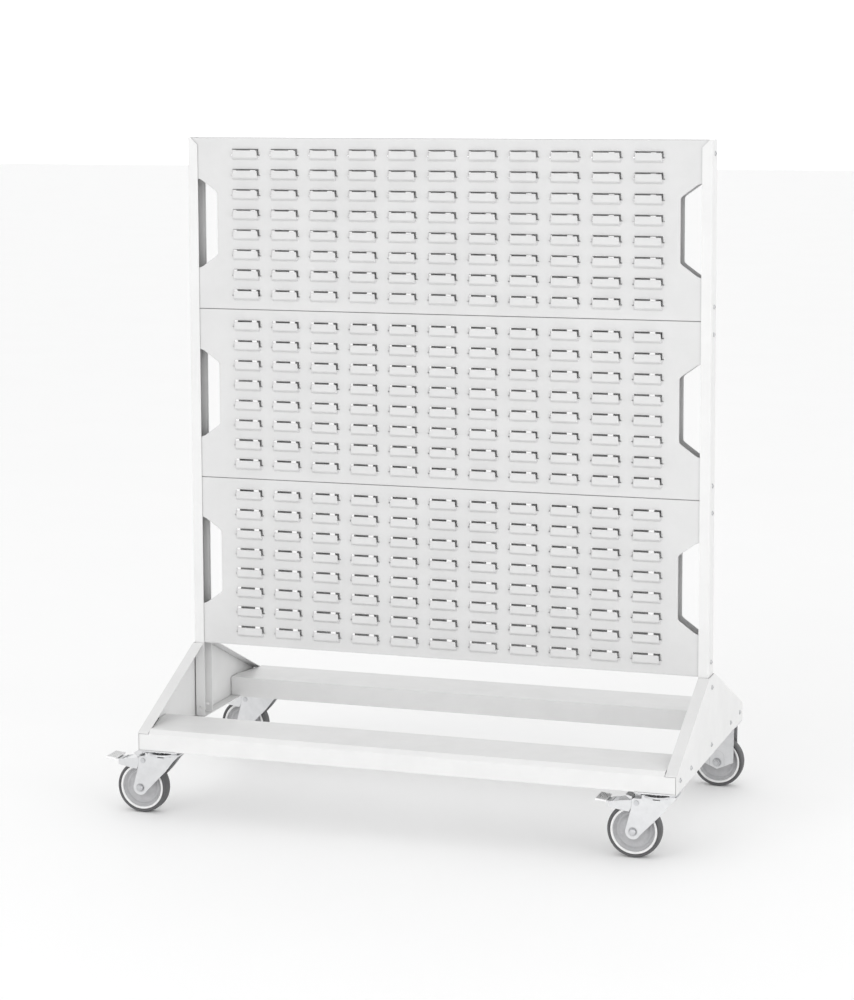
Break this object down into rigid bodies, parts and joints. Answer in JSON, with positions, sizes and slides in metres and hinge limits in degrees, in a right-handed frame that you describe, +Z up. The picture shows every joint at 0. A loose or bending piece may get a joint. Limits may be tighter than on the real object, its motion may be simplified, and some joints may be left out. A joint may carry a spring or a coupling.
{
  "type": "mobile louvre panel rack",
  "caption": "Mobile rack: louvre panels in front and perforated panels behind, between two folded uprights, on a wide base with swivel castors and pedal brakes.",
  "frame": {"origin": "on the floor, at the middle of the overall box in both floor directions", "axes": "+Z up, front face towards -Y, +X to the right seen from the front; the brake pedals point to -X"},
  "size_m": [1.4095, 0.728, 1.6],
  "materials": {
    "frame_coat": "smooth satin powder coat, light grey",
    "panel_coat": "smooth satin powder coat, light grey",
    "zinc": "bright zinc plated pressed steel",
    "wheel_plastic": "moulded grey plastic",
    "nylon": "natural nylon",
    "tread_plastic": "ribbed grey plastic",
    "tyre_rubber": "smooth dark rubber"
  },
  "bodies": {
    "rack": {"upright_left": "frame_coat", "upright_right": "frame_coat", "louvre_panel_bottom": "panel_coat", "louvre_panel_middle": "panel_coat", "louvre_panel_top": "panel_coat", "perforated_panel_bottom": "panel_coat", "perforated_panel_middle": "panel_coat", "perforated_panel_top": "panel_coat", "foot_left": "frame_coat", "foot_right": "frame_coat", "beam_front": "frame_coat", "beam_rear": "frame_coat", "castor_mount_plates": "frame_coat", "panel_screws": "zinc", "panel_nuts": "zinc", "foot_screws": "zinc", "foot_nuts": "zinc", "castor_bolts": "zinc", "castor_nuts": "zinc", "swivel_plate_fl": "zinc", "swivel_plate_fr": "zinc", "swivel_plate_rl": "zinc", "king_pins": "zinc", "swivel_balls": "zinc", "fixed_fork_rr": "zinc", "axle_bolt_rr": "zinc", "axle_nut_rr": "zinc"},
    "castor_fl": {"fork_fl": "zinc", "axle_bolt_fl": "zinc", "axle_nut_fl": "zinc", "brake_pin_fl": "zinc"},
    "brake_fl": {"brake_lever_fl": "zinc", "brake_tread_fl": "tread_plastic"},
    "castor_fr": {"fork_fr": "zinc", "axle_bolt_fr": "zinc", "axle_nut_fr": "zinc", "brake_pin_fr": "zinc"},
    "brake_fr": {"brake_lever_fr": "zinc", "brake_tread_fr": "tread_plastic"},
    "castor_rl": {"fork_rl": "zinc", "axle_bolt_rl": "zinc", "axle_nut_rl": "zinc", "brake_pin_rl": "zinc"},
    "brake_rl": {"brake_lever_rl": "zinc", "brake_tread_rl": "tread_plastic"},
    "wheel_fl": {"wheel_core_fl": "wheel_plastic", "wheel_bush_fl": "nylon", "tyre_fl": "tyre_rubber"},
    "wheel_fr": {"wheel_core_fr": "wheel_plastic", "wheel_bush_fr": "nylon", "tyre_fr": "tyre_rubber"},
    "wheel_rl": {"wheel_core_rl": "wheel_plastic", "wheel_bush_rl": "nylon", "tyre_rl": "tyre_rubber"},
    "wheel_rr": {"wheel_core_rr": "wheel_plastic", "wheel_bush_rr": "nylon", "tyre_rr": "tyre_rubber"}
  },
  "joints": [
    {"name": "swivel_fl", "type": "hinge", "parent": "rack", "child": "castor_fl", "pos_m": [-0.559, -0.32, 0.15], "axis": [0, 0, 1], "continuous": true},
    {"name": "roll_fl", "type": "hinge", "parent": "castor_fl", "child": "wheel_fl", "pos_m": [-0.6135, -0.32, 0.0625], "axis": [0, 1, 0], "continuous": true},
    {"name": "pedal_fl", "type": "hinge", "parent": "castor_fl", "child": "brake_fl", "pos_m": [-0.6054, -0.32, 0.1293], "axis": [0, -1, 0], "range_deg": [0, 8]},
    {"name": "swivel_fr", "type": "hinge", "parent": "rack", "child": "castor_fr", "pos_m": [0.647, -0.32, 0.15], "axis": [0, 0, 1], "continuous": true},
    {"name": "roll_fr", "type": "hinge", "parent": "castor_fr", "child": "wheel_fr", "pos_m": [0.5925, -0.32, 0.0625], "axis": [0, 1, 0], "continuous": true},
    {"name": "pedal_fr", "type": "hinge", "parent": "castor_fr", "child": "brake_fr", "pos_m": [0.6006, -0.32, 0.1293], "axis": [0, -1, 0], "range_deg": [0, 8]},
    {"name": "swivel_rl", "type": "hinge", "parent": "rack", "child": "castor_rl", "pos_m": [-0.559, 0.32, 0.15], "axis": [0, 0, 1], "continuous": true},
    {"name": "roll_rl", "type": "hinge", "parent": "castor_rl", "child": "wheel_rl", "pos_m": [-0.6135, 0.32, 0.0625], "axis": [0, 1, 0], "continuous": true},
    {"name": "pedal_rl", "type": "hinge", "parent": "castor_rl", "child": "brake_rl", "pos_m": [-0.6054, 0.32, 0.1293], "axis": [0, -1, 0], "range_deg": [0, 8]},
    {"name": "roll_rr", "type": "hinge", "parent": "rack", "child": "wheel_rr", "pos_m": [0.647, 0.32, 0.0625], "axis": [0, 1, 0], "continuous": true}
  ]
}
